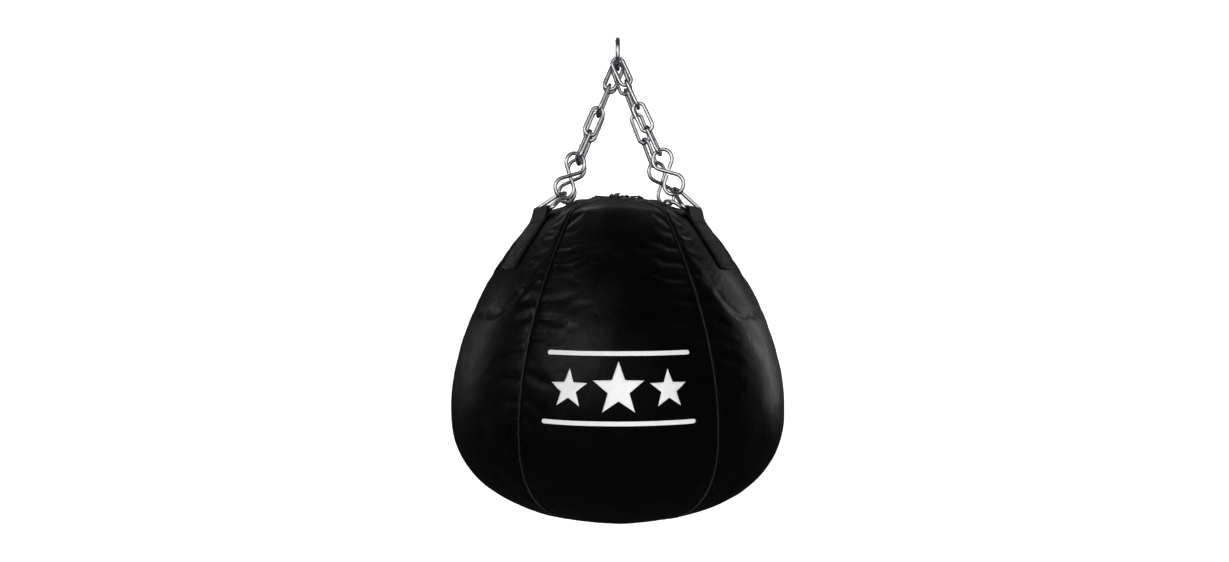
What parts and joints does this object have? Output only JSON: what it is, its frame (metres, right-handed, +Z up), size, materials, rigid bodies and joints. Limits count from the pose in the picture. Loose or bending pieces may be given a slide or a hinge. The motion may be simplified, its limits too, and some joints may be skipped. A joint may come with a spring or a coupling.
{
  "type": "heavy punching bag",
  "caption": "Pear-shaped black leather punching bag in sewn panels, hung by chain legs, S-hooks, D-rings and webbing straps from a welded ring.",
  "frame": {"origin": "centre of the hanging ring's eye", "axes": "+Z up, -Y towards the front of the bag, +X towards its right-hand side seen from the front; the ring's eye faces along X"},
  "size_m": [0.5104, 0.508, 0.7416],
  "materials": {
    "zinc_steel": "satin",
    "black_leather": "satin",
    "black_webbing": "matte",
    "lace_cord": "matte",
    "eyelet_metal": "satin",
    "liner_canvas": "matte",
    "foam": "matte",
    "fibre_filling": "matte",
    "white_print": "satin"
  },
  "bodies": {
    "ring": {"top_ring": "zinc_steel"},
    "upper_links": {"upper_link_front_left": "zinc_steel", "upper_link_front_right": "zinc_steel", "upper_link_back_right": "zinc_steel", "upper_link_back_left": "zinc_steel"},
    "bag": {"panel_front": "black_leather", "panel_front_right": "black_leather", "panel_back_right": "black_leather", "panel_back": "black_leather", "panel_back_left": "black_leather", "panel_front_left": "black_leather", "seam_piping": "black_leather", "bottom_patch": "black_leather", "closure_tongue": "black_leather", "closure_eyelets": "eyelet_metal", "closure_lace": "lace_cord", "canvas_liner": "liner_canvas", "foam_layer": "foam", "fibre_filling": "fibre_filling", "strap_front_left": "black_webbing", "strap_front_right": "black_webbing", "strap_back_right": "black_webbing", "strap_back_left": "black_webbing"},
    "second_link_front_left": {"second_link_front_left": "zinc_steel"},
    "third_link_front_left": {"third_link_front_left": "zinc_steel"},
    "fourth_link_front_left": {"fourth_link_front_left": "zinc_steel"},
    "s_hook_front_left": {"s_hook_front_left": "zinc_steel"},
    "d_ring_front_left": {"d_ring_front_left": "zinc_steel"},
    "second_link_front_right": {"second_link_front_right": "zinc_steel"},
    "third_link_front_right": {"third_link_front_right": "zinc_steel"},
    "fourth_link_front_right": {"fourth_link_front_right": "zinc_steel"},
    "s_hook_front_right": {"s_hook_front_right": "zinc_steel"},
    "d_ring_front_right": {"d_ring_front_right": "zinc_steel"},
    "second_link_back_right": {"second_link_back_right": "zinc_steel"},
    "third_link_back_right": {"third_link_back_right": "zinc_steel"},
    "fourth_link_back_right": {"fourth_link_back_right": "zinc_steel"},
    "s_hook_back_right": {"s_hook_back_right": "zinc_steel"},
    "d_ring_back_right": {"d_ring_back_right": "zinc_steel"},
    "second_link_back_left": {"second_link_back_left": "zinc_steel"},
    "third_link_back_left": {"third_link_back_left": "zinc_steel"},
    "fourth_link_back_left": {"fourth_link_back_left": "zinc_steel"},
    "s_hook_back_left": {"s_hook_back_left": "zinc_steel"},
    "d_ring_back_left": {"d_ring_back_left": "zinc_steel"}
  },
  "joints": [
    {"name": "side_swing", "type": "hinge", "parent": "ring", "child": "upper_links", "pos_m": [0, 0, -0.0202], "axis": [0, 1, 0], "range_deg": [-25, 25]},
    {"name": "bag_spin", "type": "hinge", "parent": "upper_links", "child": "bag", "pos_m": [0, 0, 0], "axis": [0, 0, 1], "range_deg": [-8, 8]},
    {"name": "leg_lean_front_left", "type": "hinge", "parent": "upper_links", "child": "second_link_front_left", "pos_m": [-0.01391, -0.01276, -0.05594], "axis": [-0.7675, -0.4796, 0.4255], "range_deg": [-6, 6]},
    {"name": "third_link_turn_front_left", "type": "hinge", "parent": "second_link_front_left", "child": "third_link_front_left", "pos_m": [-0.08489, -0.05304, -0.22937], "axis": [0.3703, 0.2102, 0.9048], "range_deg": [-15, 15]},
    {"name": "fourth_link_turn_front_left", "type": "hinge", "parent": "second_link_front_left", "child": "fourth_link_front_left", "pos_m": [-0.08489, -0.05304, -0.22937], "axis": [0.3703, 0.2102, 0.9048], "range_deg": [-15, 15]},
    {"name": "s_hook_turn_front_left", "type": "hinge", "parent": "second_link_front_left", "child": "s_hook_front_left", "pos_m": [-0.08489, -0.05304, -0.22937], "axis": [0.3703, 0.2102, 0.9048], "range_deg": [-15, 15]},
    {"name": "d_ring_tilt_front_left", "type": "hinge", "parent": "bag", "child": "d_ring_front_left", "pos_m": [-0.11194, -0.06995, -0.2535], "axis": [0.5299, -0.848, 0], "range_deg": [-1, 8]},
    {"name": "leg_lean_front_right", "type": "hinge", "parent": "upper_links", "child": "second_link_front_right", "pos_m": [0.01425, -0.02001, -0.05117], "axis": [0.7658, -0.4785, 0.4296], "range_deg": [-6, 6]},
    {"name": "third_link_turn_front_right", "type": "hinge", "parent": "second_link_front_right", "child": "third_link_front_right", "pos_m": [0.08899, -0.05561, -0.22404], "axis": [-0.3899, 0.1857, 0.9019], "range_deg": [-15, 15]},
    {"name": "fourth_link_turn_front_right", "type": "hinge", "parent": "second_link_front_right", "child": "fourth_link_front_right", "pos_m": [0.08899, -0.05561, -0.22404], "axis": [-0.3899, 0.1857, 0.9019], "range_deg": [-15, 15]},
    {"name": "s_hook_turn_front_right", "type": "hinge", "parent": "second_link_front_right", "child": "s_hook_front_right", "pos_m": [0.08899, -0.05561, -0.22404], "axis": [-0.3899, 0.1857, 0.9019], "range_deg": [-15, 15]},
    {"name": "d_ring_tilt_front_right", "type": "hinge", "parent": "bag", "child": "d_ring_front_right", "pos_m": [0.11194, -0.06995, -0.2535], "axis": [0.5299, 0.848, 0], "range_deg": [-1, 8]},
    {"name": "leg_lean_back_right", "type": "hinge", "parent": "upper_links", "child": "second_link_back_right", "pos_m": [0.01391, 0.01276, -0.05594], "axis": [0.7675, 0.4796, 0.4255], "range_deg": [-6, 6]},
    {"name": "third_link_turn_back_right", "type": "hinge", "parent": "second_link_back_right", "child": "third_link_back_right", "pos_m": [0.08489, 0.05304, -0.22937], "axis": [-0.3703, -0.2102, 0.9048], "range_deg": [-15, 15]},
    {"name": "fourth_link_turn_back_right", "type": "hinge", "parent": "second_link_back_right", "child": "fourth_link_back_right", "pos_m": [0.08489, 0.05304, -0.22937], "axis": [-0.3703, -0.2102, 0.9048], "range_deg": [-15, 15]},
    {"name": "s_hook_turn_back_right", "type": "hinge", "parent": "second_link_back_right", "child": "s_hook_back_right", "pos_m": [0.08489, 0.05304, -0.22937], "axis": [-0.3703, -0.2102, 0.9048], "range_deg": [-15, 15]},
    {"name": "d_ring_tilt_back_right", "type": "hinge", "parent": "bag", "child": "d_ring_back_right", "pos_m": [0.11194, 0.06995, -0.2535], "axis": [-0.5299, 0.848, 0], "range_deg": [-1, 8]},
    {"name": "leg_lean_back_left", "type": "hinge", "parent": "upper_links", "child": "second_link_back_left", "pos_m": [-0.01425, 0.02001, -0.05117], "axis": [-0.7658, 0.4785, 0.4296], "range_deg": [-6, 6]},
    {"name": "third_link_turn_back_left", "type": "hinge", "parent": "second_link_back_left", "child": "third_link_back_left", "pos_m": [-0.08899, 0.05561, -0.22404], "axis": [0.3899, -0.1857, 0.9019], "range_deg": [-15, 15]},
    {"name": "fourth_link_turn_back_left", "type": "hinge", "parent": "second_link_back_left", "child": "fourth_link_back_left", "pos_m": [-0.08899, 0.05561, -0.22404], "axis": [0.3899, -0.1857, 0.9019], "range_deg": [-15, 15]},
    {"name": "s_hook_turn_back_left", "type": "hinge", "parent": "second_link_back_left", "child": "s_hook_back_left", "pos_m": [-0.08899, 0.05561, -0.22404], "axis": [0.3899, -0.1857, 0.9019], "range_deg": [-15, 15]},
    {"name": "d_ring_tilt_back_left", "type": "hinge", "parent": "bag", "child": "d_ring_back_left", "pos_m": [-0.11194, 0.06995, -0.2535], "axis": [-0.5299, -0.848, 0], "range_deg": [-1, 8]}
  ],
  "couplings": [
    {"joint": "leg_lean_front_left", "follows": "bag_spin", "ratio": 0.5223},
    {"joint": "leg_lean_front_right", "follows": "bag_spin", "ratio": 0.5481},
    {"joint": "leg_lean_back_right", "follows": "bag_spin", "ratio": 0.5223},
    {"joint": "leg_lean_back_left", "follows": "bag_spin", "ratio": 0.5481}
  ]
}
